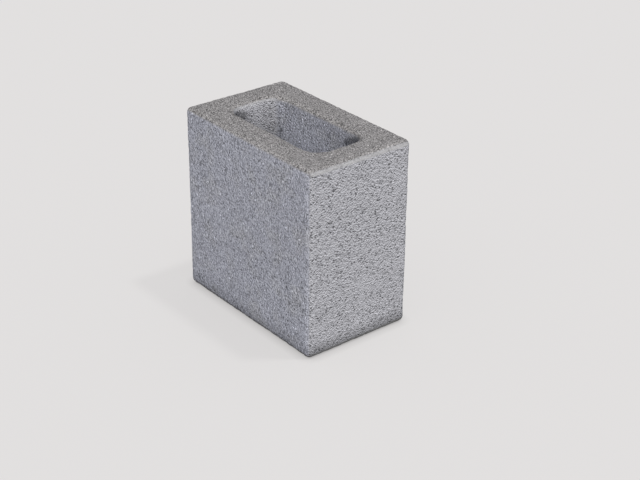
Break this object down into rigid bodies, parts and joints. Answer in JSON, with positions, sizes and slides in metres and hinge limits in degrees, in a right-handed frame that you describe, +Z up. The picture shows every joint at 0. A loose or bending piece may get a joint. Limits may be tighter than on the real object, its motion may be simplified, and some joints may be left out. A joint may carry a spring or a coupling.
{
  "type": "concrete half block",
  "caption": "Short concrete masonry block with rounded edges and an upright through core, laid in mortar at wall ends and openings.",
  "frame": {"origin": "middle of the face that the block stands on", "axes": "+X along the wall, +Y across the wall, +Z up as laid"},
  "size_m": [0.194, 0.12, 0.193],
  "materials": {
    "concrete": "bare pressed concrete, matt, fine pores, rougher on the ends"
  },
  "bodies": {
    "root": {"half_block": "concrete"}
  },
  "joints": []
}
